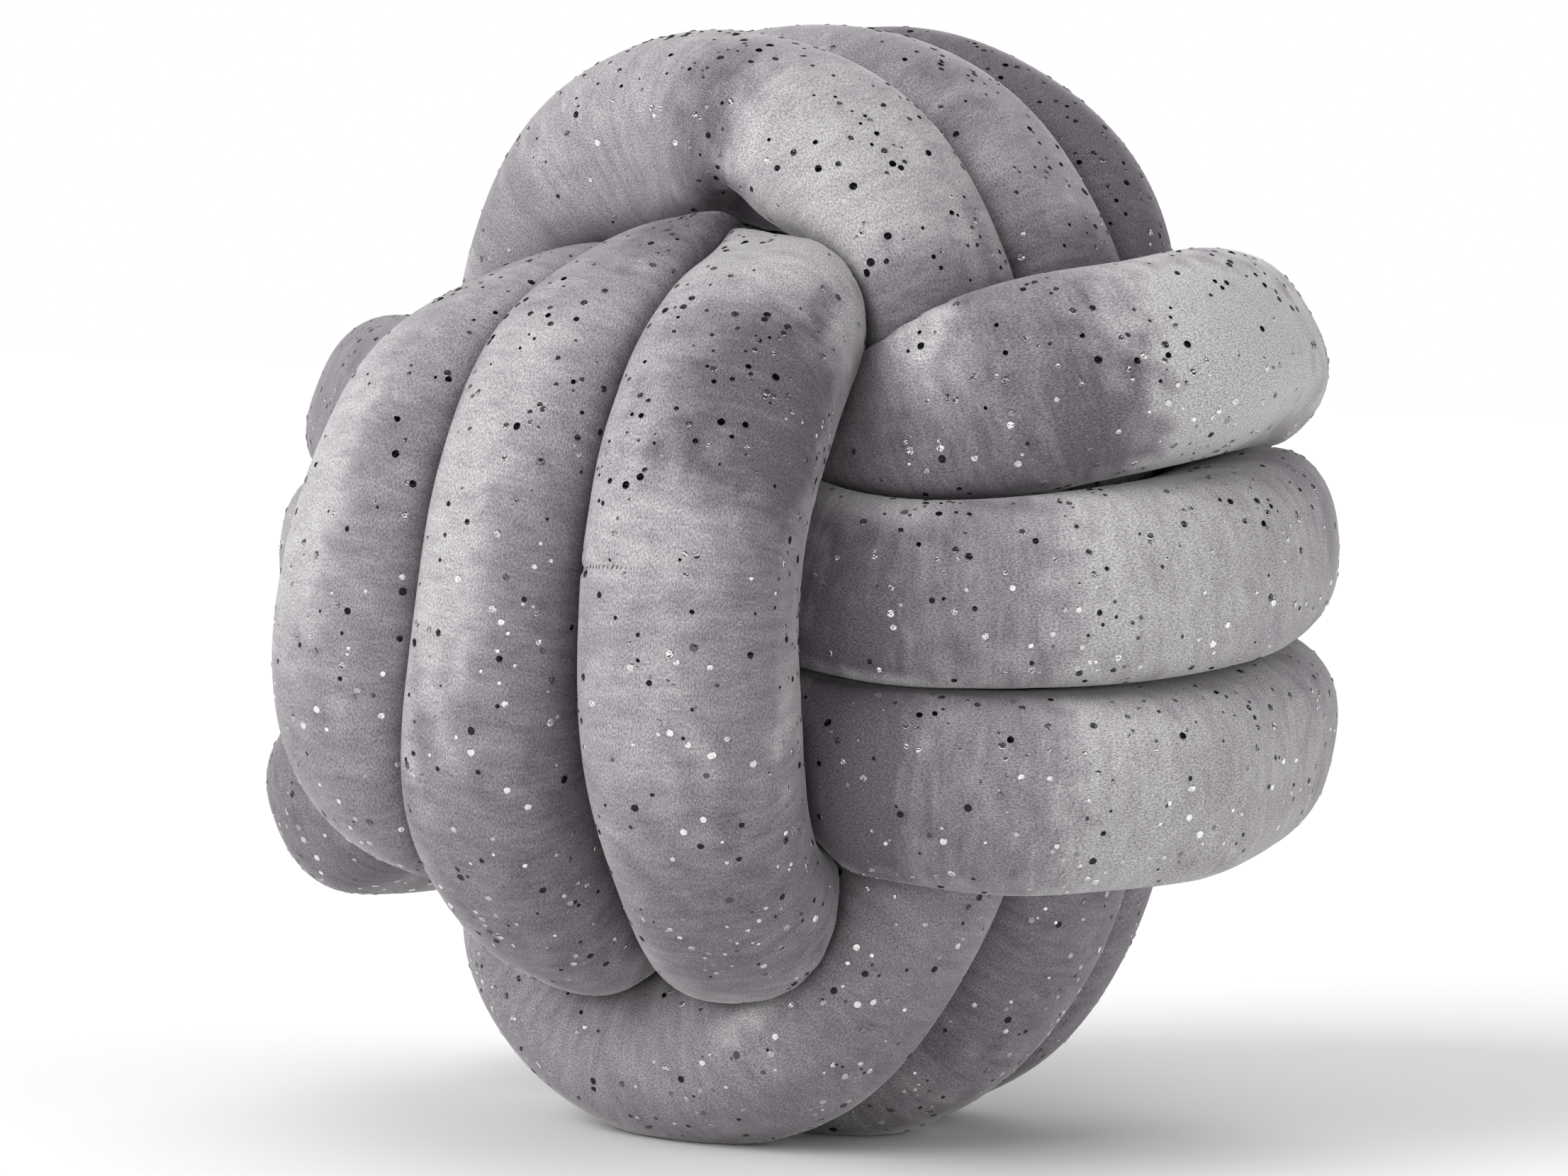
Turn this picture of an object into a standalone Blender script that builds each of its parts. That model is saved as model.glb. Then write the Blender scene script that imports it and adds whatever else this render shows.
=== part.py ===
"""Knot ball cushion, 0.30 m across, in metres with +Z up.

One long stuffed velvet tube is wound three times in each of three directions, each group of turns passing
over the one before it and through the one after it, and its two ends are sewn together. It is therefore one
closed ring of tube, pressed flat wherever it meets itself. The origin is on the floor under its middle.
"""
import math

import bpy
import numpy as np

# Driving sizes
PITCH = 0.051  # from one turn of the tube to the next
TUBE_RADIUS = 0.53 * PITCH
SQUARENESS = 2.5  # exponent of the tube's section, 2 for a circle
FLOOR_CUT = 0.0060  # how much of the lowest turn the floor presses flat

# How the turns are wound, in pitches
INNER_SQUEEZE = 0.34  # how far a group draws together where it passes inside the next one
CORE_LIFT = 0.60  # how far the ends of a group rise into the core of the ball
CORE_DRAW = 0.40  # how far they draw towards the middle of their group there, as a share
LIFT_TURN = 0.17  # the share of a turn over which they rise
STEP_TURN = 0.13  # the share of a turn, each way, over which one turn moves on to the next
LINK_TURN = 0.04  # the share of a turn that the link to the next group replaces
LINK_PULL = 1.5  # how straight a link leaves and arrives

# The cloth and the mesh
NEIGHBOUR_GAP = 0.0006  # between turns that lie side by side
CROSSING_GAP = 0.0030  # between turns that cross
SOFTNESS = 0.06 * PITCH  # how softly a round side turns into a pressed one
LOCAL_REACH = 1.6 * PITCH  # along the tube, within which it isn't its own neighbour
BEND_SHARE = 0.8  # how far the tube's inner side reaches towards the centre of a tight bend
PATH_SOFTNESS = 0.16 * PITCH  # over which the middle line is evened out
PATH_SAMPLES_PER_TURN = 240
LINK_SAMPLES = 60
RINGS = 340
SIDES = 14
RING_WINDOW = 3  # samples of the path to each side in which a ring looks for its least reach
SHARP_ANGLE = math.radians(50)  # past which an edge is shaded sharp, as at the rim of the flat spot

# A row for each turn, in the order in which the tube runs. Sizes and places are in pitches.
# reach: half its long way, to the middle of the tube. depth: half its short way.
# shift, rise: how far its middle lies from the ball's along the long way and along the short way.
# corner: how far its corners stand out from an ellipse, as a share of its size.
# place: where it lies in its group. near, far: how far it strays from there on its two long sides.
# near_lean, far_lean: how far it leans there.
COLUMNS = (
    "group", "place", "reach", "shift", "depth", "rise", "corner", "near", "far", "near_lean", "far_lean"
)
TURNS = (
    ("upright", -1, 2.38, 0.00, 1.36, -0.05, 0.09, 0.07, 0.10, 0.18, 0.05),
    ("upright", 0, 2.38, 0.00, 1.56, -0.10, 0.11, -0.16, -0.05, 0.22, 0.12),
    ("upright", 1, 2.33, 0.00, 1.64, -0.08, 0.06, -0.25, -0.15, 0.00, -0.05),
    ("level", -1, 2.34, 0.00, 1.43, 0.00, 0.11, -0.26, 0.32, 0.00, 0.24),
    ("level", 0, 2.35, 0.00, 1.45, 0.00, 0.08, 0.05, 0.24, -0.05, 0.24),
    ("level", 1, 2.25, 0.00, 1.43, 0.00, 0.06, -0.25, 0.28, -0.05, 0.10),
    ("over", -1, 2.33, 0.00, 1.34, -0.06, 0.05, 0.15, 0.16, -0.12, -0.16),
    ("over", 0, 2.42, 0.00, 1.47, 0.03, 0.07, 0.00, -0.08, 0.08, 0.00),
    ("over", 1, 2.38, 0.08, 1.42, 0.00, 0.08, -0.15, -0.20, 0.00, 0.00),
)
# The axes, as x 0, y 1, z 2, of each group's long way, short way and stacking.
GROUP_AXES = {"upright": (1, 2, 0), "level": (0, 1, 2), "over": (2, 0, 1)}

VELVET_GREY = (0.30, 0.275, 0.285, 1.0)
VELVET_ROUGHNESS = 0.85


def smooth_step(t):
    """0 below 0, 1 above 1, and smooth between."""
    t = np.clip(t, 0.0, 1.0)
    return t * t * (3.0 - 2.0 * t)


def group_path(group):
    """The tube's middle line through one group of turns, without the links at its two ends."""
    rows = [dict(zip(COLUMNS, row)) for row in TURNS if row[0] == group]
    count = len(rows)
    turn = np.linspace(LINK_TURN, count - LINK_TURN, PATH_SAMPLES_PER_TURN * count)

    def value(column):
        """A column of the table, passing smoothly from each turn to the next."""
        total = np.full(turn.shape, float(rows[0][column]))
        for index in range(1, count):
            change = rows[index][column] - rows[index - 1][column]
            total += change * smooth_step((turn - index) / (2 * STEP_TURN) + 0.5)
        return total

    angle = -0.5 * math.pi - 2.0 * math.pi * turn
    along = np.cos(angle)
    across = np.sin(angle)
    full = 1.0 + value("corner") * np.sin(2.0 * angle) ** 2
    to_end = np.minimum(turn, count - turn)
    core_share = 1.0 - smooth_step(to_end / LIFT_TURN)
    far_share = 0.5 * (1.0 + along)
    stray = value("near") * (1.0 - far_share) + value("far") * far_share
    lean = value("near_lean") * (1.0 - far_share) + value("far_lean") * far_share
    long_way = value("reach") * along * full + value("shift")
    short_way = value("depth") * across * full + value("rise") + CORE_LIFT * core_share
    drawn = 1.0 - INNER_SQUEEZE * across**4
    drawn *= 1.0 - CORE_DRAW * core_share
    stacking = value("place") * drawn + stray + lean * across
    path = np.empty((len(turn), 3))
    for axis, values in zip(GROUP_AXES[group], (long_way, short_way, stacking)):
        path[:, axis] = values
    return path * PITCH


def link(before, after):
    """The tube's way through the core from the end of one group to the start of the next."""
    start, end = before[-1], after[0]
    leave = before[-1] - before[-2]
    arrive = after[1] - after[0]
    reach = np.linalg.norm(end - start) * LINK_PULL
    leave = leave / np.linalg.norm(leave) * reach
    arrive = arrive / np.linalg.norm(arrive) * reach
    t = np.linspace(0.0, 1.0, LINK_SAMPLES + 2)[1:-1, None]
    return (
        (2 * t**3 - 3 * t**2 + 1) * start
        + (t**3 - 2 * t**2 + t) * leave
        + (3 * t**2 - 2 * t**3) * end
        + (t**3 - t**2) * arrive
    )


def evened_out(path, step):
    """The closed line with its small kinks taken out, each point the mean of those near it."""
    reach = int(3.0 * PATH_SOFTNESS / step)
    shifts = np.arange(-reach, reach + 1)
    weights = np.exp(-0.5 * (shifts * step / PATH_SOFTNESS) ** 2)
    weights /= weights.sum()
    return sum(weight * np.roll(path, shift, axis=0) for weight, shift in zip(weights, shifts))


def tube_path():
    """The closed middle line of the whole tube, at even steps, and the distance along it."""
    groups = [group_path(group) for group in GROUP_AXES]
    pieces = []
    for index, group in enumerate(groups):
        pieces += [group, link(group, groups[(index + 1) % len(groups)])]
    line = np.concatenate(pieces)
    closed = np.vstack([line, line[:1]])
    along = np.concatenate([[0.0], np.cumsum(np.linalg.norm(np.diff(closed, axis=0), axis=1))])
    even = np.linspace(0.0, along[-1], len(line) + 1)[:-1]
    path = np.stack([np.interp(even, along, closed[:, axis]) for axis in range(3)], axis=1)
    return evened_out(path, along[-1] / len(line)), even, along[-1]


def tube_section(angle):
    """The free radius of the tube at an angle round it, a circle drawn a little towards a square."""
    square = np.abs(np.cos(angle)) ** SQUARENESS + np.abs(np.sin(angle)) ** SQUARENESS
    return TUBE_RADIUS * square ** (-1.0 / SQUARENESS)


def tube_surface(path, along, length, angles):
    """The ways out from each sample of the path, and how far the tube reaches along each of them.

    It reaches its free radius, or halfway to the nearest other part of the path, less half a gap.
    """
    tangent = np.roll(path, -1, axis=0) - np.roll(path, 1, axis=0)
    tangent /= np.linalg.norm(tangent, axis=1)[:, None]
    outward = path - tangent * np.sum(path * tangent, axis=1)[:, None]
    outward /= np.linalg.norm(outward, axis=1)[:, None]
    sideways = np.cross(tangent, outward)
    turn = angles[None, :, None]
    ways = np.cos(turn) * outward[:, None] + np.sin(turn) * sideways[:, None]
    section = tube_section(angles)
    reach = np.empty((len(path), len(angles)))
    for index in range(len(path)):
        offset = path - path[index]
        apart = np.abs(along - along[index])
        apart = np.minimum(apart, length - apart)
        elsewhere = apart > LOCAL_REACH
        crossing = 1.0 - np.abs(tangent @ tangent[index])
        gap = np.where(elsewhere, NEIGHBOUR_GAP + (CROSSING_GAP - NEIGHBOUR_GAP) * crossing, 0.0)
        share = np.where(elsewhere, 0.5, 0.5 * BEND_SHARE)
        towards = np.maximum(ways[index] @ offset.T, 1e-9)
        halfway = np.sum(offset**2, axis=1) * share / towards - 0.5 * gap
        halfway[:, index] = TUBE_RADIUS * 4
        nearest = halfway.min(axis=1)
        reach[index] = 0.5 * (section + nearest - np.sqrt((section - nearest) ** 2 + SOFTNESS**2))
    return ways, reach


def tube_rings(path, ways, reach, count, window):
    """Evenly spaced rings of points on the tube, each with the least reach found in a window round it."""
    least = np.min([np.roll(reach, shift, axis=0) for shift in range(-window, window + 1)], axis=0)
    chosen = np.round(np.linspace(0, len(path), count + 1)[:-1]).astype(int)
    return path[chosen, None] + ways[chosen] * least[chosen][..., None]


def set_down(rings):
    """The rings moved to stand on the floor over the origin, with the lowest turn pressed flat there."""
    low = rings.min(axis=(0, 1))
    high = rings.max(axis=(0, 1))
    floor = low[2] + FLOOR_CUT
    placed = rings - np.array([0.5 * (low[0] + high[0]), 0.5 * (low[1] + high[1]), floor])
    placed[..., 2] = np.maximum(placed[..., 2], 0.0)
    return placed


def velvet_material():
    """Grey velvet, plain here."""
    material = bpy.data.materials.new("velvet")
    material.use_nodes = True
    shader = material.node_tree.nodes["Principled BSDF"]
    shader.inputs["Base Color"].default_value = VELVET_GREY
    shader.inputs["Roughness"].default_value = VELVET_ROUGHNESS
    shader.inputs["Metallic"].default_value = 0.0
    return material


def ring_mesh(name, rings):
    """A closed tube through the rings, the last joined to the first."""
    count, sides = rings.shape[:2]
    faces = []
    for ring in range(count):
        after = (ring + 1) % count
        for side in range(sides):
            beside = (side + 1) % sides
            faces.append(
                (ring * sides + side, ring * sides + beside, after * sides + beside, after * sides + side)
            )
    mesh = bpy.data.meshes.new(name)
    mesh.from_pydata(rings.reshape(-1, 3).tolist(), [], faces)
    mesh.update()
    mesh.shade_smooth()
    mesh.set_sharp_from_angle(angle=SHARP_ANGLE)
    return mesh


def build():
    for thing in list(bpy.data.objects):
        bpy.data.objects.remove(thing, do_unlink=True)
    path, along, length = tube_path()
    angles = np.linspace(0.0, 2.0 * math.pi, SIDES + 1)[:-1]
    ways, reach = tube_surface(path, along, length, angles)
    rings = set_down(tube_rings(path, ways, reach, RINGS, RING_WINDOW))
    mesh = ring_mesh("knot_tube", rings)
    mesh.materials.append(velvet_material())
    tube = bpy.data.objects.new("knot_tube", mesh)
    bpy.context.scene.collection.objects.link(tube)
    return tube


build()
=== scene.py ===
"""Knot ball cushion of grey velvet with foil dots, 0.30 m across."""
import math

import bpy
import numpy as np
from mathutils import Matrix, Vector


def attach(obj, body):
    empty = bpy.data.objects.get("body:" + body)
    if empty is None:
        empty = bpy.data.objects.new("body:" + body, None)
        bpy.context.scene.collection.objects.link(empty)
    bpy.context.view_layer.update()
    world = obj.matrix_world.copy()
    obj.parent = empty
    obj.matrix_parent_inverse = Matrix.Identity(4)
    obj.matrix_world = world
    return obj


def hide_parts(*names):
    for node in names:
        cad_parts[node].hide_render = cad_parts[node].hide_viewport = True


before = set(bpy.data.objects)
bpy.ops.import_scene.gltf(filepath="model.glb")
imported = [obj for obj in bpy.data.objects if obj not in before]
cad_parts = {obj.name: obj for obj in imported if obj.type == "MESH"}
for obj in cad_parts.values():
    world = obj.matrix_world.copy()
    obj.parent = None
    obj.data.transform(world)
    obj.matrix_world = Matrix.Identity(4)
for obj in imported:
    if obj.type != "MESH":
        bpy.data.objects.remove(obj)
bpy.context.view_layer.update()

# The tube's course. One stuffed tube is wound by hand three times in each of three directions, each group
# of turns over the one before it and through the one after it, and its ends meet in a butt seam.
# Its middle line is an oval for each turn, with short links inside the ball, worked out in pitches.
PITCH = 0.051
INNER_SQUEEZE = 0.34
CORE_LIFT = 0.60
CORE_DRAW = 0.40
LIFT_TURN = 0.17
LINK_TURN = 0.04
LINK_PULL = 1.5
SAMPLES_PER_TURN = 240
LINK_SAMPLES = 60
PATH_SOFTNESS = 0.16 * PITCH
SOFTNESS_REACH = 3.0 * PATH_SOFTNESS

# Each row is one turn: its place in its group, its reach and depth to either side, its shift and rise, how
# full its corners are, and how far its near and far sides stray and lean from their place.
COLUMNS = (
    "group", "place", "reach", "shift", "depth", "rise", "corner", "near", "far", "near_lean", "far_lean"
)
TURNS = (
    ("upright", -1, 2.38, 0.00, 1.36, -0.05, 0.09, 0.07, 0.10, 0.18, 0.05),
    ("upright", 0, 2.38, 0.00, 1.56, -0.10, 0.11, -0.16, -0.05, 0.22, 0.12),
    ("upright", 1, 2.33, 0.00, 1.64, -0.08, 0.06, -0.25, -0.15, 0.00, -0.05),
    ("level", -1, 2.34, 0.00, 1.43, 0.00, 0.11, -0.26, 0.32, 0.00, 0.24),
    ("level", 0, 2.35, 0.00, 1.45, 0.00, 0.08, 0.05, 0.24, -0.05, 0.24),
    ("level", 1, 2.25, 0.00, 1.43, 0.00, 0.06, -0.25, 0.28, -0.05, 0.10),
    ("over", -1, 2.33, 0.00, 1.34, -0.06, 0.05, 0.15, 0.16, -0.12, -0.16),
    ("over", 0, 2.42, 0.00, 1.47, 0.03, 0.07, 0.00, -0.08, 0.08, 0.00),
    ("over", 1, 2.38, 0.08, 1.42, 0.00, 0.08, -0.15, -0.20, 0.00, 0.00),
)

# The axes of a turn's reach, depth and place, and the share of a turn on each side of the step to the next
# one. The level turns step over more quickly than the others.
GROUP_AXES = {"upright": (1, 2, 0), "level": (0, 1, 2), "over": (2, 0, 1)}
STEP_TURNS = {"upright": 0.13, "level": 0.09, "over": 0.13}


def smooth_step(t):
    """0 below 0, 1 above 1, and smooth between."""
    t = np.clip(t, 0.0, 1.0)
    return t * t * (3.0 - 2.0 * t)


def group_line(group, first_turn):
    """The middle line through one group of turns, with the count of turns as a fourth column."""
    rows = [dict(zip(COLUMNS, row)) for row in TURNS if row[0] == group]
    count = len(rows)
    turn = np.linspace(LINK_TURN, count - LINK_TURN, SAMPLES_PER_TURN * count)

    def value(column):
        total = np.full(turn.shape, float(rows[0][column]))
        for index in range(1, count):
            change = rows[index][column] - rows[index - 1][column]
            total += change * smooth_step((turn - index) / (2 * STEP_TURNS[group]) + 0.5)
        return total

    angle = -0.5 * math.pi - 2.0 * math.pi * turn
    along = np.cos(angle)
    across = np.sin(angle)
    full = 1.0 + value("corner") * np.sin(2.0 * angle) ** 2
    core_share = 1.0 - smooth_step(np.minimum(turn, count - turn) / LIFT_TURN)
    far_share = 0.5 * (1.0 + along)
    stray = value("near") * (1.0 - far_share) + value("far") * far_share
    lean = value("near_lean") * (1.0 - far_share) + value("far_lean") * far_share
    drawn = (1.0 - INNER_SQUEEZE * across**4) * (1.0 - CORE_DRAW * core_share)
    ways = (
        value("reach") * along * full + value("shift"),
        value("depth") * across * full + value("rise") + CORE_LIFT * core_share,
        value("place") * drawn + stray + lean * across,
    )
    line = np.empty((len(turn), 4))
    for axis, values in zip(GROUP_AXES[group], ways):
        line[:, axis] = values * PITCH
    line[:, 3] = first_turn + turn
    return line


def link(before, after):
    """The way through the core from the end of one group to the start of the next."""
    start, end = before[-1], after[0].copy()
    end[3] = start[3] + 2 * LINK_TURN
    leave = (before[-1] - before[-2])[:3]
    arrive = (after[1] - after[0])[:3]
    pull = np.linalg.norm((end - start)[:3]) * LINK_PULL
    leave = leave / np.linalg.norm(leave) * pull
    arrive = arrive / np.linalg.norm(arrive) * pull
    t = np.linspace(0.0, 1.0, LINK_SAMPLES + 2)[1:-1, None]
    line = start + (end - start) * t
    line[:, :3] = (
        (2 * t**3 - 3 * t**2 + 1) * start[:3]
        + (t**3 - 2 * t**2 + t) * leave
        + (3 * t**2 - 2 * t**3) * end[:3]
        + (t**3 - t**2) * arrive
    )
    return line


turns_per_group = len(TURNS) // len(GROUP_AXES)
groups = [group_line(group, turns_per_group * number) for number, group in enumerate(GROUP_AXES)]
stretches = []
for number, group in enumerate(groups):
    stretches += [group, link(group, groups[(number + 1) % len(groups)])]
line = np.concatenate(stretches)
closed = np.vstack([line, line[:1] + [0.0, 0.0, 0.0, float(len(TURNS))]])
distance = np.concatenate([[0.0], np.cumsum(np.linalg.norm(np.diff(closed[:, :3], axis=0), axis=1))])
LENGTH = distance[-1]
even = np.linspace(0.0, LENGTH, len(line) + 1)[:-1]
path = np.stack([np.interp(even, distance, closed[:, axis]) for axis in range(4)], axis=1)
turn_count = path[:, 3]
path = path[:, :3]

# The hand-wound tube has no sharp changes of way, so its middle line is averaged over nearby points.
step = LENGTH / len(path)
window = int(SOFTNESS_REACH / step)
shifts = np.arange(-window, window + 1)
weights = np.exp(-0.5 * (shifts * step / PATH_SOFTNESS) ** 2)
weights /= weights.sum()
path = sum(weight * np.roll(path, shift, axis=0) for weight, shift in zip(weights, shifts))
tangent = np.roll(path, -1, axis=0) - np.roll(path, 1, axis=0)
tangent /= np.linalg.norm(tangent, axis=1)[:, None]
bend = (np.roll(tangent, -1, axis=0) - np.roll(tangent, 1, axis=0)) / (2.0 * step)


def between(values, at):
    """Values known at the even samples of the closed path, read at other distances along it."""
    around = np.concatenate([values[-1:], values, values[:1]])
    stops = np.concatenate([[-step], even, [LENGTH]])
    if values.ndim == 1:
        return np.interp(at, stops, around)
    return np.stack([np.interp(at, stops, around[:, axis]) for axis in range(values.shape[1])], axis=1)


# The velvet tube. The cloth is one strip sewn into a tube 54 mm thick and stuffed, so it stays round where
# it is free and lies flat against the turns beside and under it. Its rings of points are closer where they
# show and at the butt seam, and each point reaches its free radius or half way to the next turn.
TUBE_RADIUS = 0.53 * PITCH
SQUARENESS = 2.5
FLOOR_CUT = 0.0060
NEIGHBOUR_GAP = 0.0003
CROSSING_GAP = 0.0006
SOFTNESS = 0.05 * PITCH
LOCAL_REACH = 1.6 * PITCH
BEND_SHARE = 0.8
NOTHING_NEAR = 4.0 * TUBE_RADIUS
LEAST_TOWARDS = 1e-9
SHOWN_RADIUS = 1.75 * PITCH
SHOWN_BLEND = 0.25 * PITCH
SHOWN_STEP = 0.0028
HIDDEN_STEP = 0.0060
SIDES = 54
OUTER_SHARE = 0.35
SEAM_TURN = 2.269
SEAM_STEP = 0.0007
SEAM_ZONE = 0.008

from_middle = np.linalg.norm(path, axis=1)
seam_at = even[np.argmin(np.abs(turn_count - SEAM_TURN))]
shown = smooth_step((from_middle - SHOWN_RADIUS) / SHOWN_BLEND + 0.5)
spacing = HIDDEN_STEP + (SHOWN_STEP - HIDDEN_STEP) * shown
near_seam = np.exp(-(((even - seam_at) / SEAM_ZONE) ** 2))
spacing = spacing + (SEAM_STEP - spacing) * near_seam
rings_so_far = np.concatenate([[0.0], np.cumsum(step / spacing)])
RINGS = int(rings_so_far[-1])
ring_at = np.interp(
    np.linspace(0.0, rings_so_far[-1], RINGS + 1)[:-1], rings_so_far, np.append(even, LENGTH)
)
side = np.linspace(0.0, 2.0 * math.pi, SIDES + 1)[:-1]
angle = side - OUTER_SHARE * np.sin(side)
section = TUBE_RADIUS * (
    np.abs(np.cos(angle)) ** SQUARENESS + np.abs(np.sin(angle)) ** SQUARENESS
) ** (-1.0 / SQUARENESS)

centre = between(path, ring_at)
ring_tangent = between(tangent, ring_at)
ring_tangent /= np.linalg.norm(ring_tangent, axis=1)[:, None]
ring_bend = between(bend, ring_at)
outward = centre - ring_tangent * np.sum(centre * ring_tangent, axis=1)[:, None]
outward /= np.linalg.norm(outward, axis=1)[:, None]
sideways = np.cross(ring_tangent, outward)
way = np.cos(angle)[None, :, None] * outward[:, None] + np.sin(angle)[None, :, None] * sideways[:, None]
radius = np.empty((RINGS, SIDES))
pressed = np.empty((RINGS, SIDES))
for ring in range(RINGS):
    offset = path - centre[ring]
    apart = np.abs(even - ring_at[ring])
    apart = np.minimum(apart, LENGTH - apart)
    elsewhere = apart > LOCAL_REACH
    crossing = 1.0 - np.abs(tangent @ ring_tangent[ring])
    gap = np.where(elsewhere, NEIGHBOUR_GAP + (CROSSING_GAP - NEIGHBOUR_GAP) * crossing, 0.0)
    share = np.where(elsewhere, 0.5, 0.5 * BEND_SHARE)
    towards = np.maximum(way[ring] @ offset.T, LEAST_TOWARDS)
    halfway = np.sum(offset**2, axis=1) * share / towards - 0.5 * gap
    halfway[:, apart < step] = NOTHING_NEAR
    nearest = halfway.min(axis=1)
    radius[ring] = 0.5 * (section + nearest - np.sqrt((section - nearest) ** 2 + SOFTNESS**2))
    pressed[ring] = np.clip(1.0 - radius[ring] / section, 0.0, 1.0)
points = centre[:, None] + way * radius[..., None]

# Lumps of filling, and gathers where the cloth is squeezed on the inner side of a bend. Both fade where the
# tube is pressed against another turn.
FREE_UNDER = 0.12
LUMP_SEED = 11
LUMP_DEPTH = 0.0005
LUMP_SIZE = 0.070
LUMP_WAVES = 18
GATHER_DEPTH = 0.0008
GATHER_SIZE = 0.0085
GATHER_FROM = 0.12
GATHER_FULL = 0.5
GATHER_HOLLOW = 0.3
GATHER_SWAY = 2.2
GATHER_SWAY_SIZE = 0.03
GATHER_SWAY_WAVES = 14

draw = np.random.default_rng(LUMP_SEED)


def soft_noise(places, size, waves):
    """Smooth noise of about unit size at places in space, from a few random waves."""
    total = np.zeros(places.shape[:-1])
    for _ in range(waves):
        direction = draw.normal(size=3)
        direction *= 2.0 * math.pi / (size * draw.uniform(0.7, 1.4) * np.linalg.norm(direction))
        total += np.sin(places @ direction + draw.uniform(0.0, 2.0 * math.pi))
    return total / math.sqrt(0.5 * waves)


free = 1.0 - smooth_step(pressed / FREE_UNDER)
lumps = LUMP_DEPTH * soft_noise(points, LUMP_SIZE, LUMP_WAVES)
squeezed = np.sum(ring_bend[:, None] * way, axis=2) * radius
sway = GATHER_SWAY * soft_noise(points, GATHER_SWAY_SIZE, GATHER_SWAY_WAVES)
gather_wave = 2.0 * math.pi * ring_at[:, None] / GATHER_SIZE + sway
gathered = np.clip(squeezed - GATHER_FROM, 0.0, GATHER_FULL) / GATHER_FULL
gather = GATHER_DEPTH * gathered * (np.cos(gather_wave) - GATHER_HOLLOW)

# The butt seam draws the cloth in along an uneven line, with small puckers beside it. It shows most on the
# side that faces the next upright turn.
SEAM_DEPTH = 0.0007
SEAM_WIDTH = 0.0009
SEAM_WANDER = 0.0006
SEAM_WANDER_WAVES = 3.0
SEAM_SHOWS = 0.55
SEAM_FADE = 0.9
SEAM_FAINTEST = 0.20
SEAM_UNEVEN = 0.25
SEAM_UNEVEN_WAVES = 11.0
PUCKER_DEPTH = 0.0002
PUCKER_LENGTH = 0.006
PUCKERS = 26.0

from_seam = ring_at[:, None] - seam_at + SEAM_WANDER * np.sin(SEAM_WANDER_WAVES * angle)[None, :]
seam_shows = np.clip(SEAM_SHOWS - SEAM_FADE * np.sin(angle), SEAM_FAINTEST, 1.0)
uneven = 1.0 + SEAM_UNEVEN * np.sin(SEAM_UNEVEN_WAVES * angle)
seam = -SEAM_DEPTH * np.exp(-((from_seam / SEAM_WIDTH) ** 2)) * seam_shows * uneven
pucker = -PUCKER_DEPTH * np.exp(-((from_seam / PUCKER_LENGTH) ** 2)) * np.cos(PUCKERS * angle)[None, :]

# Folds and hollows pressed into the tube, and bulges, which have a negative depth. Each row: the turn, the
# place round the tube in degrees from the outside, half the length along the tube, half the width round it
# and the depth, in metres.
FOLDS = (
    (6.694, 240, 0.0105, 0.0095, 0.0140),
    (4.690, 75, 0.014, 0.010, -0.0025),
    (3.735, -36, 0.028, 0.018, -0.0044),
    (3.790, -24, 0.014, 0.014, -0.0012),
    (4.893, -45, 0.030, 0.005, -0.0010),
    (3.905, 57, 0.030, 0.005, -0.0010),
    (5.715, -68, 0.016, 0.012, 0.0040),
    (6.704, 296, 0.0022, 0.0200, 0.0011),
    (6.765, 266, 0.0160, 0.0013, 0.0010),
    (6.755, 259, 0.0120, 0.0012, 0.0010),
    (2.377, 45, 0.0075, 0.0036, 0.0028),
    (2.405, -22, 0.015, 0.015, 0.0046),
    (1.415, 24, 0.016, 0.011, -0.0040),
    (5.902, 62, 0.022, 0.015, -0.0068),
)
turn_ends = np.append(turn_count, float(len(TURNS)))
even_ends = np.append(even, LENGTH)


def from_place(turn, degrees):
    """How far each ring and each side of the tube is from a place on it, along it and round it."""
    away = ring_at - np.interp(turn, turn_ends, even_ends)
    away = (away + 0.5 * LENGTH) % LENGTH - 0.5 * LENGTH
    aside = (angle - math.radians(degrees) + math.pi) % (2.0 * math.pi) - math.pi
    return away[:, None], aside[None, :] * TUBE_RADIUS


folds = np.zeros((RINGS, SIDES))
for fold_turn, fold_side, half_length, half_width, depth in FOLDS:
    away, aside = from_place(fold_turn, fold_side)
    folds += depth * np.exp(-((away / half_length) ** 2 + (aside / half_width) ** 2))

# All of these move the cloth in or out, and the weight of the ball presses a flat spot where it rests.
radius = radius + free * (lumps + gather) + (seam + pucker) - folds
points = centre[:, None] + way * radius[..., None]
low = points.min(axis=(0, 1))
high = points.max(axis=(0, 1))
stand = np.array([0.5 * (low[0] + high[0]), 0.5 * (low[1] + high[1]), low[2] + FLOOR_CUT])
points = points - stand
points[..., 2] = np.maximum(points[..., 2], 0.0)

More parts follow.
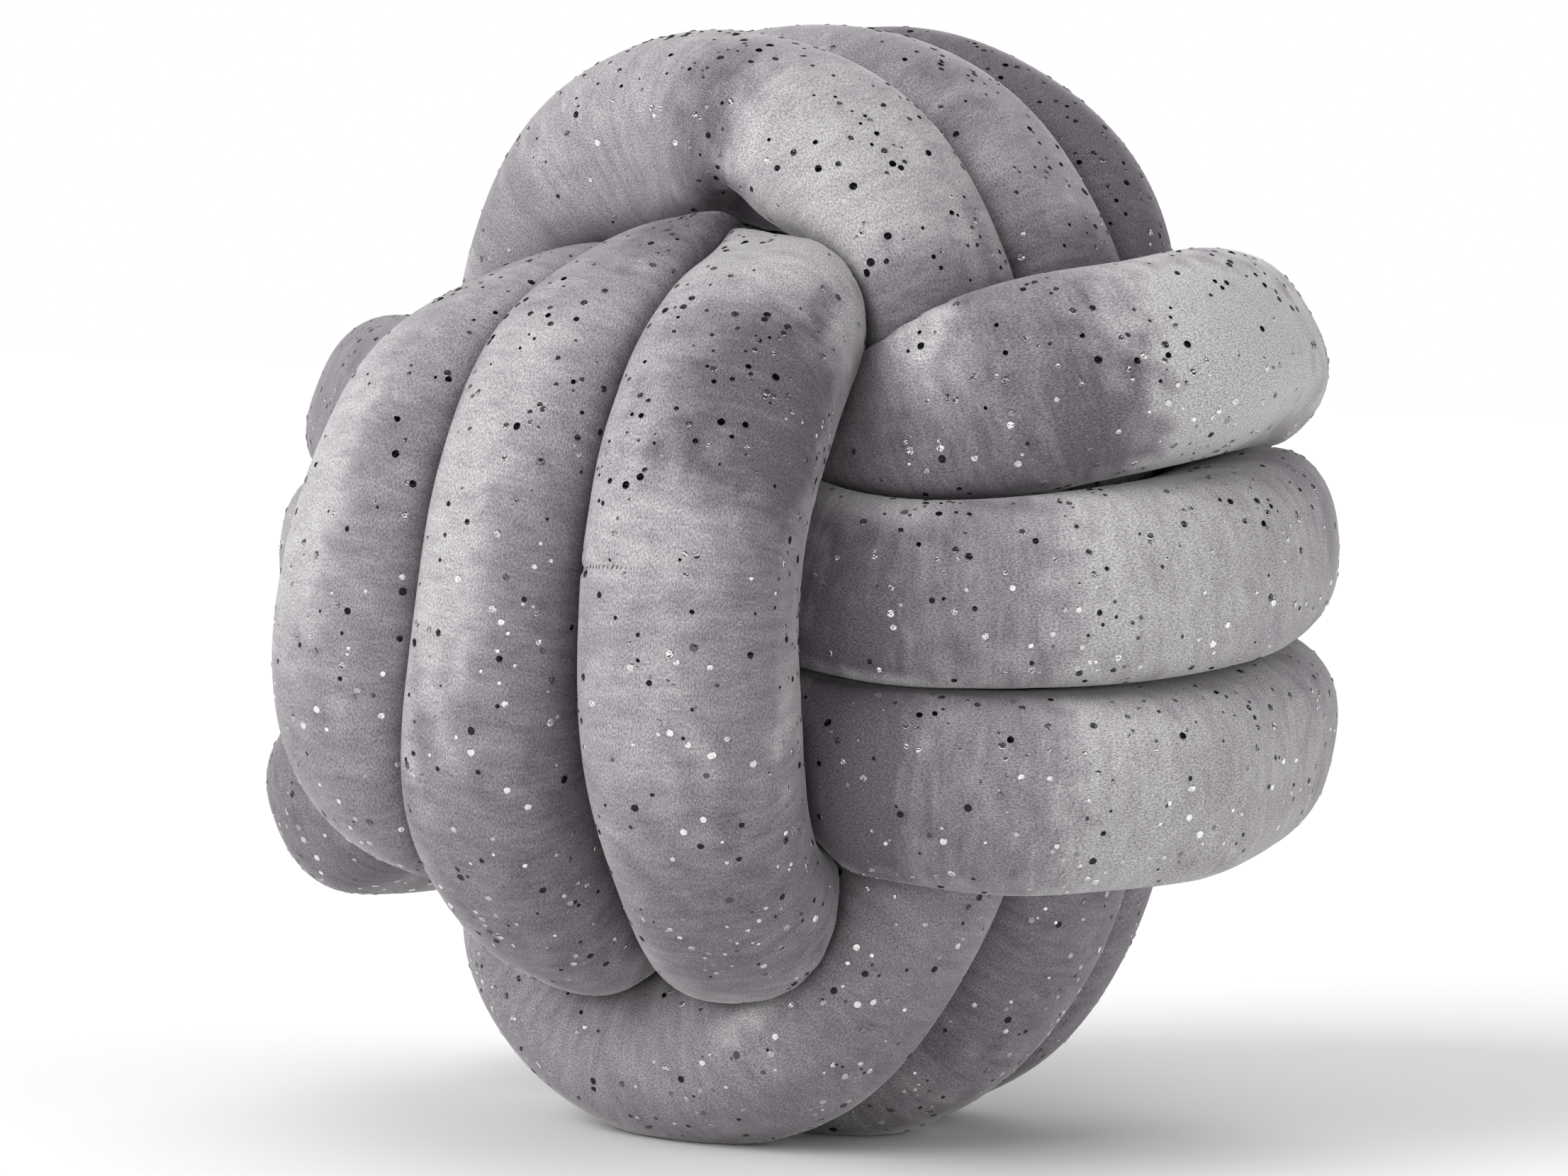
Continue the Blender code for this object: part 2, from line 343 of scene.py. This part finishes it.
# The way the pile lies, and painted light and shade. Hands have brushed it this way and that, so it looks
# light where it leans towards the light and dark where it leans away. Some patches are painted light and
# shade: lighter on the left sides of the upright turns, which face the key light, darker on their right sides
# and undersides, dark in the folds and in the pocket under the first over turn, and thin light lines along a
# few crevice edges, a painted sheen. The random waves and the other patches stand for the brushed pile. Each
# row is a patch: the turn it lies on, its place round the tube in degrees from the outside, half its length
# and half its width in metres, and its shade.
NAP_AND_PAINTED_LIGHT_PATCHES = (
    (0.29, -14, 0.045, 0.013, 0.70), (0.25, 44, 0.045, 0.013, -0.35), (0.16, 20, 0.030, 0.030, -0.25),
    (0.37, 30, 0.020, 0.020, 0.15), (1.27, -14, 0.065, 0.014, 0.65), (1.24, 48, 0.060, 0.014, -0.45),
    (1.15, 30, 0.035, 0.034, -0.55), (1.39, -5, 0.022, 0.030, -0.10), (2.39, -18, 0.020, 0.032, 0.50),
    (2.31, -32, 0.034, 0.022, 0.25), (2.22, -22, 0.040, 0.022, 0.15), (2.29, 30, 0.014, 0.018, -0.50),
    (2.245, 40, 0.038, 0.012, -0.40), (2.332, 38, 0.022, 0.023, -0.95), (2.377, 44, 0.009, 0.004, -1.20),
    (2.384, 64, 0.010, 0.008, 0.60), (2.392, -4, 0.015, 0.026, 0.55), (1.412, 18, 0.016, 0.014, -0.80),
    (2.283, -10, 0.009, 0.022, 0.40), (2.14, 40, 0.028, 0.032, -0.50), (3.14, -20, 0.045, 0.045, -0.70),
    (3.845, 28, 0.040, 0.045, 0.68), (3.914, 15, 0.015, 0.036, -1.25), (3.893, 22, 0.006, 0.030, -0.40),
    (3.77, 20, 0.026, 0.045, 0.45), (4.840, 8, 0.040, 0.042, 0.85), (4.912, -20, 0.016, 0.032, -1.00),
    (4.891, -6, 0.007, 0.028, -0.40), (4.912, 52, 0.018, 0.006, 0.60), (4.877, 12, 0.012, 0.026, -0.55),
    (3.878, 25, 0.012, 0.040, -0.50), (4.76, 8, 0.020, 0.042, 0.40), (5.14, 0, 0.040, 0.040, -0.45),
    (5.79, -34, 0.046, 0.045, 1.10), (5.908, 4, 0.015, 0.036, -0.40), (5.864, -20, 0.019, 0.038, -0.75),
    (5.845, -45, 0.008, 0.020, -0.90), (5.882, 24, 0.007, 0.013, 0.90), (5.884, -38, 0.014, 0.024, -0.62),
    (4.905, -47, 0.016, 0.0024, 1.30), (6.28, -45, 0.070, 0.030, -0.25), (6.338, -66, 0.012, 0.003, 0.80),
    (6.66, -40, 0.036, 0.042, 0.60), (6.73, -20, 0.010, 0.040, 0.10), (6.725, -66, 0.009, 0.024, -0.85),
    (6.80, -60, 0.026, 0.040, 0.20), (6.60, -34, 0.011, 0.015, -0.60), (7.64, -55, 0.040, 0.030, -0.05),
    (7.60, -28, 0.013, 0.019, -0.75), (7.66, -50, 0.004, 0.012, -0.50), (7.63, -62, 0.003, 0.014, -0.45),
    (7.615, -46, 0.003, 0.010, -0.45), (7.68, -30, 0.005, 0.010, -0.40), (6.690, -118, 0.010, 0.012, -2.00),
    (7.40, -45, 0.040, 0.040, -0.55), (8.66, -40, 0.090, 0.034, -1.00), (8.40, -40, 0.050, 0.034, -0.50),
)
NAP_BROAD = 0.22
NAP_BROAD_SIZE = 0.075
NAP_FINE = 0.10
NAP_FINE_SIZE = 0.030
NAP_WAVES = 16
EDGE_RAGGED = 0.17
EDGE_SIZE = 0.010
EDGE_WAVES = 20
EDGE_FROM = 0.50
EDGE_WIDTH = 1.00
PATCH_HIDES = 0.8

nap_and_painted_light = NAP_BROAD * soft_noise(points, NAP_BROAD_SIZE, NAP_WAVES)
nap_and_painted_light = nap_and_painted_light + NAP_FINE * soft_noise(points, NAP_FINE_SIZE, NAP_WAVES)
ragged = EDGE_RAGGED * soft_noise(points, EDGE_SIZE, EDGE_WAVES)
for patch_turn, patch_side, half_length, half_width, shade in NAP_AND_PAINTED_LIGHT_PATCHES:
    away, aside = from_place(patch_turn, patch_side)
    out = np.abs(away / half_length) ** 3 + np.abs(aside / half_width) ** 3
    cover = 1.0 - smooth_step((np.cbrt(out) + ragged - EDGE_FROM) / EDGE_WIDTH)
    nap_and_painted_light = nap_and_painted_light * (1.0 - PATCH_HIDES * cover) + shade * cover

faces = []
for ring in range(RINGS):
    after = (ring + 1) % RINGS
    for place in range(SIDES):
        beside = (place + 1) % SIDES
        faces.append((
            ring * SIDES + place,
            ring * SIDES + beside,
            after * SIDES + beside,
            after * SIDES + place,
        ))
mesh = bpy.data.meshes.new("velvet_tube")
mesh.from_pydata(points.reshape(-1, 3).tolist(), [], faces)
mesh.shade_smooth()
length_ends = np.append(ring_at, LENGTH)
girth_ends = np.append(angle, 2.0 * math.pi) * TUBE_RADIUS
corner_along = np.stack([length_ends[:-1], length_ends[:-1], length_ends[1:], length_ends[1:]], axis=1)
corner_round = np.stack([girth_ends[:-1], girth_ends[1:], girth_ends[1:], girth_ends[:-1]], axis=1)
corners = np.stack(
    [np.repeat(corner_along, SIDES, axis=0), np.tile(corner_round, (RINGS, 1))], axis=2
)
cloth_map = mesh.uv_layers.new(name="cloth")
cloth_map.data.foreach_set("uv", corners.reshape(-1).astype(np.float32))
# The nap and the painted light and shade are kept on the points for the velvet's colour.
nap_and_light_kept = mesh.attributes.new("nap_and_painted_light", "FLOAT", "POINT")
nap_and_light_kept.data.foreach_set("value", nap_and_painted_light.reshape(-1).astype(np.float32))
tube = bpy.data.objects.new("velvet_tube", mesh)
bpy.context.scene.collection.objects.link(tube)


def set_sockets(node, sockets):
    """Sets a node's inputs, each to a value or, given as (other node, its output), by a link."""
    for name, value in sockets.items():
        if isinstance(value, tuple) and isinstance(value[0], bpy.types.Node):
            node.id_data.links.new(value[0].outputs[value[1]], node.inputs[name])
        else:
            node.inputs[name].default_value = value


def add_node(tree, kind, sockets=None, **settings):
    """A new node in a tree, with its settings and then its inputs."""
    node = tree.nodes.new(kind)
    for name, value in settings.items():
        setattr(node, name, value)
    set_sockets(node, sockets or {})
    return node


def add_ramp(tree, source, stops):
    """A colour ramp over another node's output, from rows of place and colour."""
    node = add_node(tree, "ShaderNodeValToRGB", {"Fac": source})
    for place, _ in stops[1:-1]:
        node.color_ramp.elements.new(place)
    for element, (place, colour) in zip(node.color_ramp.elements, stops):
        element.position = place
        element.color = (*colour, 1.0)
    return node


def new_material(name, sockets):
    """A material with its shader's own sockets set."""
    material = bpy.data.materials.new(name)
    material.use_nodes = True
    set_sockets(material.node_tree.nodes["Principled BSDF"], sockets)
    return material


# The velvet's finish. The pile is light or dark by the way it lies and by the light and shade painted into
# the same patches, with brush marks and fine streaks round the tube, and each tuft catches the light by
# itself.
VELVET_DARK = (0.122, 0.106, 0.123)
VELVET_MIDDLE = (0.261, 0.246, 0.260)
VELVET_LIGHT = (0.445, 0.435, 0.440)
TUFT_DARK = (0.60, 0.59, 0.61)
TUFT_LIGHT = (1.40, 1.40, 1.40)

# The two inputs and the output of a mix that hold colours.
MIX_FIRST, MIX_SECOND, MIX_COLOUR = 6, 7, 2

velvet = new_material("velvet", {
    "Roughness": 0.75,
    "Specular IOR Level": 0.20,
    "Sheen Weight": 0.42,
    "Sheen Roughness": 0.24,
    "Sheen Tint": (0.95, 0.93, 0.95, 1.0),
})
cloth = velvet.node_tree
cloth_object = add_node(cloth, "ShaderNodeTexCoord")
cloth_place = add_node(cloth, "ShaderNodeUVMap", uv_map="cloth")
brushed = add_node(cloth, "ShaderNodeTexNoise", {
    "Vector": (cloth_object, "Object"), "Scale": 90.0, "Detail": 4.0, "Roughness": 0.6, "Distortion": 0.8,
})
brush_share = add_node(
    cloth, "ShaderNodeMath", {0: (brushed, "Fac"), 1: 0.50, 2: -0.05}, operation="MULTIPLY_ADD"
)
streak_scale = add_node(cloth, "ShaderNodeMapping", {
    "Vector": (cloth_place, "UV"), "Scale": (420.0, 75.0, 1.0),
})
streaks = add_node(cloth, "ShaderNodeTexNoise", {
    "Vector": (streak_scale, "Vector"), "Scale": 1.0, "Detail": 3.0, "Roughness": 0.6, "Distortion": 0.5,
})
streak_share = add_node(
    cloth,
    "ShaderNodeMath",
    {0: (streaks, "Fac"), 1: 0.60, 2: (brush_share, "Value")},
    operation="MULTIPLY_ADD",
)
nap_and_light_attribute = add_node(cloth, "ShaderNodeAttribute", attribute_name="nap_and_painted_light")
lie_with_painted_light = add_node(
    cloth,
    "ShaderNodeMath",
    {0: (nap_and_light_attribute, "Fac"), 1: 0.5, 2: (streak_share, "Value")},
    operation="MULTIPLY_ADD",
)
# The ramp colours the brushed pile and the painted light and shade alike: dark for pile brushed down and for
# painted shade, light for pile leaning to the light and for painted light.
lie_and_painted_light_colour = add_ramp(cloth, (lie_with_painted_light, "Value"), (
    (0.0, VELVET_DARK), (0.5, VELVET_MIDDLE), (1.0, VELVET_LIGHT),
))
pile_scale = add_node(cloth, "ShaderNodeMapping", {
    "Vector": (cloth_place, "UV"), "Scale": (0.75, 1.0, 1.0),
})
pile = add_node(cloth, "ShaderNodeTexNoise", {
    "Vector": (pile_scale, "Vector"), "Scale": 2700.0, "Detail": 2.0, "Roughness": 0.65, "Distortion": 0.4,
})
tuft_shade = add_ramp(cloth, (pile, "Fac"), ((0.36, TUFT_DARK), (0.64, TUFT_LIGHT)))
velvet_colour = add_node(cloth, "ShaderNodeMix", {"Factor": 1.0}, data_type="RGBA", blend_type="MULTIPLY")
set_sockets(velvet_colour, {MIX_FIRST: (lie_and_painted_light_colour, "Color"), MIX_SECOND: (tuft_shade, "Color")})
pile_bump = add_node(cloth, "ShaderNodeBump", {"Height": (pile, "Fac"), "Strength": 0.6, "Distance": 0.0002})
set_sockets(cloth.nodes["Principled BSDF"], {
    "Base Color": (velvet_colour, MIX_COLOUR), "Normal": (pile_bump, "Normal"),
})
mesh.materials.append(velvet)

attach(tube, "root")
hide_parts("knot_tube")

# The foil dots. Small round dots of metal foil, 0.9 to 2.3 mm across, are pressed on the pile in loose
# clusters. They are thin flat discs with a crinkled face, each tipped a little by the pile under it, and
# they are left out where the tube is pressed against a turn or the floor.
DOT_DENSITY = 24500.0
DOT_LEAST = 0.00046
DOT_MOST = 0.00114
DOT_THICKNESS = 0.14
DOT_RIM = 0.82
DOT_TIP = 0.20
DOT_SIDES = 9
DOTS_FROM = 1.9 * PITCH
DOTS_BLEND = 0.3 * PITCH
DOTS_ABOVE_FLOOR = 0.0015
FOIL_PAINTED_DARK = (0.03, 0.03, 0.035)
FOIL_BRIGHT = (0.90, 0.88, 0.89)

# The outputs of a random draw that hold a vector and a plain number.
RANDOM_VECTOR, RANDOM_FLOAT = 0, 1

shows = smooth_step((np.linalg.norm(points + stand, axis=2) - DOTS_FROM) / DOTS_BLEND) * free
shows *= points[..., 2] > DOTS_ABOVE_FLOOR
shows_kept = mesh.attributes.new("shows", "FLOAT", "POINT")
shows_kept.data.foreach_set("value", shows.reshape(-1).astype(np.float32))

# Each dot's colour is drawn at random from near black to silver. The dark ones are a painted reflection, foil
# that mirrors dark surroundings; the metal still reflects the real lamps and surround as well.
foil = new_material("foil", {"Metallic": 1.0, "Roughness": 0.20})
metal = foil.node_tree
foil_tone = add_node(metal, "ShaderNodeAttribute", attribute_name="dot_tone")
foil_colour = add_ramp(metal, (foil_tone, "Fac"), ((0.20, FOIL_PAINTED_DARK), (0.80, FOIL_BRIGHT)))
foil_object = add_node(metal, "ShaderNodeTexCoord")
crinkle = add_node(metal, "ShaderNodeTexNoise", {
    "Vector": (foil_object, "Object"), "Scale": 1300.0, "Detail": 1.0,
})
foil_bump = add_node(metal, "ShaderNodeBump", {
    "Height": (crinkle, "Fac"), "Strength": 0.6, "Distance": 0.0009,
})
set_sockets(metal.nodes["Principled BSDF"], {
    "Base Color": (foil_colour, "Color"), "Normal": (foil_bump, "Normal"),
})


def new_tree(name, sizes):
    """A Geometry Nodes tree and its input node, with named inputs for its sizes."""
    tree = bpy.data.node_groups.new(name, "GeometryNodeTree")
    tree.interface.new_socket("Geometry", in_out="INPUT", socket_type="NodeSocketGeometry")
    for size_name, value in sizes.items():
        socket = tree.interface.new_socket(size_name, in_out="INPUT", socket_type="NodeSocketFloat")
        socket.default_value = value
    tree.interface.new_socket("Geometry", in_out="OUTPUT", socket_type="NodeSocketGeometry")
    return tree, add_node(tree, "NodeGroupInput")


def end_tree(tree, copies, material):
    """Ends a tree: the copies become real faces of one material."""
    real = add_node(tree, "GeometryNodeRealizeInstances", {"Geometry": (copies, "Instances")})
    paint = add_node(tree, "GeometryNodeSetMaterial", {"Geometry": (real, "Geometry"), "Material": material})
    add_node(tree, "NodeGroupOutput", {"Geometry": (paint, "Geometry")})


def made_by(tree, ground):
    """What a tree makes on a mesh, as a plain piece with the tree's name."""
    host = bpy.data.objects.new(tree.name + "_host", ground)
    bpy.context.scene.collection.objects.link(host)
    host.modifiers.new(tree.name, "NODES").node_group = tree
    made = bpy.data.meshes.new_from_object(host.evaluated_get(bpy.context.evaluated_depsgraph_get()))
    made.name = tree.name
    bpy.data.objects.remove(host, do_unlink=True)
    piece = bpy.data.objects.new(tree.name, made)
    bpy.context.scene.collection.objects.link(piece)
    return piece


scattered, dots_in = new_tree("foil_dots", {
    "Density": DOT_DENSITY,
    "Least radius": DOT_LEAST,
    "Most radius": DOT_MOST,
    "Thickness": DOT_THICKNESS,
    "Rim": DOT_RIM,
    "Tip": DOT_TIP,
})
cluster = add_node(scattered, "ShaderNodeTexNoise", {"Scale": 55.0, "Detail": 2.0})
cluster_share = add_node(scattered, "ShaderNodeMapRange", {
    "Value": (cluster, "Fac"), "From Min": 0.38, "From Max": 0.66, "To Min": 0.12, "To Max": 1.6,
})
free_cloth = add_node(scattered, "GeometryNodeInputNamedAttribute", {"Name": "shows"}, data_type="FLOAT")
free_share = add_node(
    scattered,
    "ShaderNodeMath",
    {0: (cluster_share, "Result"), 1: (free_cloth, "Attribute")},
    operation="MULTIPLY",
)
density = add_node(
    scattered, "ShaderNodeMath", {0: (free_share, "Value"), 1: (dots_in, "Density")}, operation="MULTIPLY"
)
scatter = add_node(
    scattered,
    "GeometryNodeDistributePointsOnFaces",
    {"Mesh": (dots_in, "Geometry"), "Density": (density, "Value"), "Seed": 5},
    distribute_method="RANDOM",
)
tone = add_node(scattered, "FunctionNodeRandomValue", {"Seed": 21}, data_type="FLOAT")
toned = add_node(
    scattered,
    "GeometryNodeStoreNamedAttribute",
    {"Geometry": (scatter, "Points"), "Name": "dot_tone", "Value": (tone, RANDOM_FLOAT)},
    data_type="FLOAT",
    domain="POINT",
)
disc = add_node(
    scattered,
    "GeometryNodeMeshCone",
    {
        "Vertices": DOT_SIDES,
        "Radius Top": (dots_in, "Rim"),
        "Radius Bottom": 1.0,
        "Depth": (dots_in, "Thickness"),
    },
    fill_type="NGON",
)
tip_back = add_node(scattered, "ShaderNodeMath", {0: (dots_in, "Tip"), 1: -1.0}, operation="MULTIPLY")
tip = add_node(
    scattered,
    "FunctionNodeRandomValue",
    {"Min": (tip_back, "Value"), "Max": (dots_in, "Tip"), "Seed": 8},
    data_type="FLOAT_VECTOR",
)
tip_turn = add_node(scattered, "FunctionNodeEulerToRotation", {"Euler": (tip, RANDOM_VECTOR)})
tipped = add_node(
    scattered,
    "FunctionNodeRotateRotation",
    {"Rotation": (scatter, "Rotation"), "Rotate By": (tip_turn, "Rotation")},
    rotation_space="LOCAL",
)
size_draw = add_node(scattered, "FunctionNodeRandomValue", {"Seed": 3}, data_type="FLOAT")
mostly_small = add_node(
    scattered, "ShaderNodeMath", {0: (size_draw, RANDOM_FLOAT), 1: 1.5}, operation="POWER"
)
dot_radius = add_node(scattered, "ShaderNodeMapRange", {
    "Value": (mostly_small, "Value"),
    "To Min": (dots_in, "Least radius"),
    "To Max": (dots_in, "Most radius"),
})
laid = add_node(scattered, "GeometryNodeInstanceOnPoints", {
    "Points": (toned, "Geometry"),
    "Instance": (disc, "Mesh"),
    "Rotation": (tipped, "Rotation"),
    "Scale": (dot_radius, "Result"),
})
end_tree(scattered, laid, foil)

dots = made_by(scattered, mesh.copy())
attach(dots, "root")

# The stitches of the butt seam. The two ends of the tube are closed by hand with short slanting stitches of
# dark grey thread, about 1.4 mm apart, which sink into the pile.
STITCH_STEP = 0.0014
STITCH_LENGTH = 0.0023
STITCH_THICKNESS = 0.00040
STITCH_SINK = 0.0005
STITCH_SLANT = math.radians(-22.0)
STITCH_LEAST = 0.6
STITCH_MOST = 1.1
THREAD_DARK = (0.030, 0.027, 0.032)
THREAD_LIGHT = (0.110, 0.100, 0.112)

# The inputs of a random draw that hold the least and the most of a plain number.
RANDOM_LEAST, RANDOM_MOST = 2, 3

seam_ring = int(np.argmin(np.abs(ring_at - seam_at)))
sunk = STITCH_SINK * (1.0 - seam_shows)
seam_points = points[seam_ring] - way[seam_ring] * sunk[:, None]
seam_line = bpy.data.meshes.new("seam_line")
seam_line.from_pydata(seam_points.tolist(), [(place, (place + 1) % SIDES) for place in range(SIDES)], [])
for name, values in (("out", way[seam_ring]), ("along", np.tile(ring_tangent[seam_ring], (SIDES, 1)))):
    kept = seam_line.attributes.new(name, "FLOAT_VECTOR", "POINT")
    kept.data.foreach_set("vector", values.reshape(-1).astype(np.float32))

thread = new_material("thread", {"Roughness": 0.8})
fibre = thread.node_tree
thread_object = add_node(fibre, "ShaderNodeTexCoord")
twist = add_node(fibre, "ShaderNodeTexNoise", {"Vector": (thread_object, "Object"), "Scale": 3000.0})
thread_colour = add_ramp(fibre, (twist, "Fac"), ((0.0, THREAD_DARK), (1.0, THREAD_LIGHT)))
set_sockets(fibre.nodes["Principled BSDF"], {"Base Color": (thread_colour, "Color")})

sewn, seam_in = new_tree("seam_stitches", {
    "Step": STITCH_STEP,
    "Slant": STITCH_SLANT,
    "Length": STITCH_LENGTH,
    "Thickness": STITCH_THICKNESS,
    "Least size": STITCH_LEAST,
    "Most size": STITCH_MOST,
})
seam_curve = add_node(sewn, "GeometryNodeMeshToCurve", {"Mesh": (seam_in, "Geometry")})
stops = add_node(
    sewn,
    "GeometryNodeResampleCurve",
    {"Curve": (seam_curve, "Curve"), "Length": (seam_in, "Step")},
    mode="LENGTH",
)
out_way = add_node(sewn, "GeometryNodeInputNamedAttribute", {"Name": "out"}, data_type="FLOAT_VECTOR")
standing = add_node(sewn, "FunctionNodeAlignRotationToVector", {"Vector": (out_way, "Attribute")}, axis="Z")
along_way = add_node(sewn, "GeometryNodeInputNamedAttribute", {"Name": "along"}, data_type="FLOAT_VECTOR")
lengthwise = add_node(
    sewn,
    "FunctionNodeAlignRotationToVector",
    {"Rotation": (standing, "Rotation"), "Vector": (along_way, "Attribute")},
    axis="X",
    pivot_axis="Z",
)
slant = add_node(sewn, "ShaderNodeCombineXYZ", {"Z": (seam_in, "Slant")})
slant_turn = add_node(sewn, "FunctionNodeEulerToRotation", {"Euler": (slant, "Vector")})
slanted = add_node(
    sewn,
    "FunctionNodeRotateRotation",
    {"Rotation": (lengthwise, "Rotation"), "Rotate By": (slant_turn, "Rotation")},
    rotation_space="LOCAL",
)
bead = add_node(sewn, "GeometryNodeMeshUVSphere", {"Segments": 6, "Rings": 4, "Radius": 0.5})
bead_size = add_node(sewn, "ShaderNodeCombineXYZ", {
    "X": (seam_in, "Length"), "Y": (seam_in, "Thickness"), "Z": (seam_in, "Thickness"),
})
stitch = add_node(sewn, "GeometryNodeTransform", {
    "Geometry": (bead, "Mesh"), "Scale": (bead_size, "Vector"),
})
stitch_size = add_node(sewn, "FunctionNodeRandomValue", {"Seed": 4}, data_type="FLOAT")
set_sockets(stitch_size, {RANDOM_LEAST: (seam_in, "Least size"), RANDOM_MOST: (seam_in, "Most size")})
pulled = add_node(sewn, "GeometryNodeInstanceOnPoints", {
    "Points": (stops, "Curve"),
    "Instance": (stitch, "Geometry"),
    "Rotation": (slanted, "Rotation"),
    "Scale": (stitch_size, RANDOM_FLOAT),
})
end_tree(sewn, pulled, thread)

stitches = made_by(sewn, seam_line)
stitches.data.shade_smooth()
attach(stitches, "root")

# The floor and the light. A plain pale floor, four large soft lights from above and all sides, and a pale
# surround. Each light's row: its name, its azimuth and elevation in degrees, its power and its spread.
FLOOR_HALF = 40.0
FLOOR_HEIGHT = -0.0002
FLOOR_COLOUR = (0.85, 0.85, 0.85, 1.0)
LIGHT_DISTANCE = 2.0
LIGHTS = (
    ("key", -22.0, 30.0, 3.0, 40.0),
    ("top", 20.0, 80.0, 1.1, 70.0),
    ("right", 120.0, 18.0, 1.0, 50.0),
    ("back_left", 215.0, 35.0, 1.4, 50.0),
)
SURROUND_LOW = (1.0, 1.0, 1.0)
SURROUND_HIGH = (0.05, 0.05, 0.055)

floor_mesh = bpy.data.meshes.new("floor")
floor_mesh.from_pydata(
    [(x * FLOOR_HALF, y * FLOOR_HALF, FLOOR_HEIGHT) for x, y in ((-1, -1), (1, -1), (1, 1), (-1, 1))],
    [],
    [(0, 1, 2, 3)],
)
floor_mesh.materials.append(new_material("pale_floor", {"Base Color": FLOOR_COLOUR, "Roughness": 0.9}))
floor = bpy.data.objects.new("floor", floor_mesh)
bpy.context.scene.collection.objects.link(floor)

for name, azimuth, elevation, power, spread in LIGHTS:
    lamp = bpy.data.lights.new(name, "SUN")
    lamp.energy = power
    lamp.angle = math.radians(spread)
    around, up = math.radians(azimuth), math.radians(elevation)
    out = Vector((math.sin(around) * math.cos(up), -math.cos(around) * math.cos(up), math.sin(up)))
    holder = bpy.data.objects.new(name, lamp)
    holder.location = out * LIGHT_DISTANCE
    holder.visible_glossy = False
    holder.rotation_euler = out.to_track_quat("Z", "Y").to_euler()
    bpy.context.scene.collection.objects.link(holder)

world = bpy.data.worlds.new("surround")
bpy.context.scene.world = world
world.use_nodes = True
surround = world.node_tree
direction = add_node(surround, "ShaderNodeTexCoord")
height = add_node(surround, "ShaderNodeSeparateXYZ", {"Vector": (direction, "Generated")})
brightness = add_ramp(surround, (height, "Z"), ((0.10, SURROUND_LOW), (0.30, SURROUND_HIGH)))
lighting = surround.nodes["Background"]
set_sockets(lighting, {"Color": (brightness, "Color"), "Strength": 1.3})
seen = add_node(surround, "ShaderNodeBackground", {"Color": (1.0, 1.0, 1.0, 1.0)})
ray = add_node(surround, "ShaderNodeLightPath")
which = add_node(surround, "ShaderNodeMixShader", {0: (ray, "Is Camera Ray"), 1: (lighting, 0), 2: (seen, 0)})
set_sockets(surround.nodes["World Output"], {"Surface": (which, 0)})
bpy.context.scene.view_settings.view_transform = "Standard"

# The camera, at the height and side from which the cushion is looked at. The pitch and the middle of the
# ball are given in pixels of the picture.
VIEW_AZIMUTH = math.radians(30.5)
VIEW_ELEVATION = math.radians(2.5)
VIEW_ROLL = math.radians(2.4)
VIEW_DISTANCE = 27.0 * PITCH
PICTURE_WIDTH = 2212
PICTURE_HEIGHT = 1659
PITCH_PIXELS = 267.652
MIDDLE_PIXEL = (1127.014, 828.394)
SENSOR_WIDTH = 36.0

camera_data = bpy.data.cameras.new("camera")
camera = bpy.data.objects.new("camera", camera_data)
bpy.context.scene.collection.objects.link(camera)
bpy.context.scene.camera = camera
camera_data.sensor_width = SENSOR_WIDTH
camera_data.lens = SENSOR_WIDTH * PITCH_PIXELS * (VIEW_DISTANCE / PITCH) / PICTURE_WIDTH
camera_data.shift_x = (0.5 * PICTURE_WIDTH - MIDDLE_PIXEL[0]) / PICTURE_WIDTH
camera_data.shift_y = (MIDDLE_PIXEL[1] - 0.5 * PICTURE_HEIGHT) / PICTURE_WIDTH
camera_data.clip_start = 0.01
back = Vector((
    math.sin(VIEW_AZIMUTH) * math.cos(VIEW_ELEVATION),
    -math.cos(VIEW_AZIMUTH) * math.cos(VIEW_ELEVATION),
    math.sin(VIEW_ELEVATION),
))
right = Vector((0.0, 0.0, 1.0)).cross(back).normalized()
upward = back.cross(right)
rolled = Matrix.Rotation(VIEW_ROLL, 4, back)
right = rolled @ right
upward = rolled @ upward
eye = Vector(-stand) + back * VIEW_DISTANCE
camera.matrix_world = Matrix((
    (right.x, upward.x, back.x, eye.x),
    (right.y, upward.y, back.y, eye.y),
    (right.z, upward.z, back.z, eye.z),
    (0.0, 0.0, 0.0, 1.0),
))
